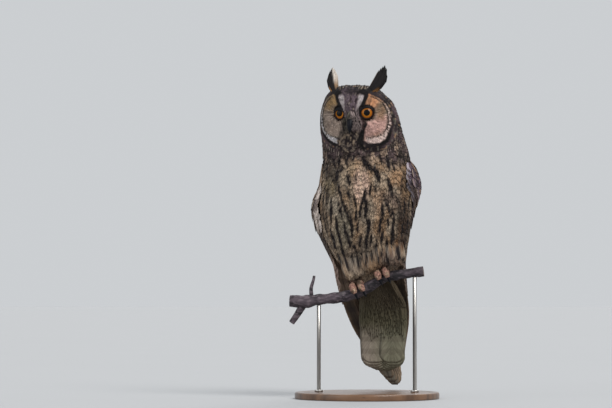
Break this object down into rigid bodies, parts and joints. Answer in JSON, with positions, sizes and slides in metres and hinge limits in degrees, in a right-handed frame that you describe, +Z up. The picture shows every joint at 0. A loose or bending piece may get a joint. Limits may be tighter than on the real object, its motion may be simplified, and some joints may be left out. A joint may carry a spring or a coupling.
{
  "type": "long-eared owl",
  "caption": "Life-size long-eared owl (Asio otus) perched upright on a cut length of branch, head turned to its right, ear tufts raised, held over a plain round base by two rods.",
  "frame": {"origin": "middle of the round base's underside, which the part stands on", "axes": "+Z up; -Y the way the owl's breast roughly faces, towards the picture's camera; +X the owl's left side"},
  "size_m": [0.1881, 0.18, 0.4133],
  "materials": {
    "plumage": "soft matt body feathers, buff with dark brown streaks",
    "wing_feathers": "matt flight feathers, grey-brown with dark bars",
    "tail_feathers": "matt tail feathers, grey-buff with faint bars",
    "tuft_feathers": "matt black-brown feathers with buff edges",
    "foot_feathers": "short dense buff feathers",
    "horn": "dark polished horn of bill and claws",
    "eye": "wet glossy eye, orange iris",
    "bark": "rough dark bark",
    "stand_wood": "satin varnished dark wood",
    "stand_steel": "satin rod"
  },
  "bodies": {
    "root": {"head": "plumage", "neck": "plumage", "torso": "plumage", "bill": "horn", "tail": "tail_feathers", "perch": "bark", "stand_base": "stand_wood", "eye_left": "eye", "ear_tuft_left": "tuft_feathers", "wing_left": "wing_feathers", "leg_left": "foot_feathers", "stand_rod_left": "stand_steel", "claw_left_inner_front": "horn", "claw_left_outer_front": "horn", "claw_left_inner_back": "horn", "claw_left_outer_back": "horn", "eye_right": "eye", "ear_tuft_right": "tuft_feathers", "wing_right": "wing_feathers", "leg_right": "foot_feathers", "stand_rod_right": "stand_steel", "claw_right_inner_front": "horn", "claw_right_outer_front": "horn", "claw_right_inner_back": "horn", "claw_right_outer_back": "horn"}
  },
  "joints": []
}
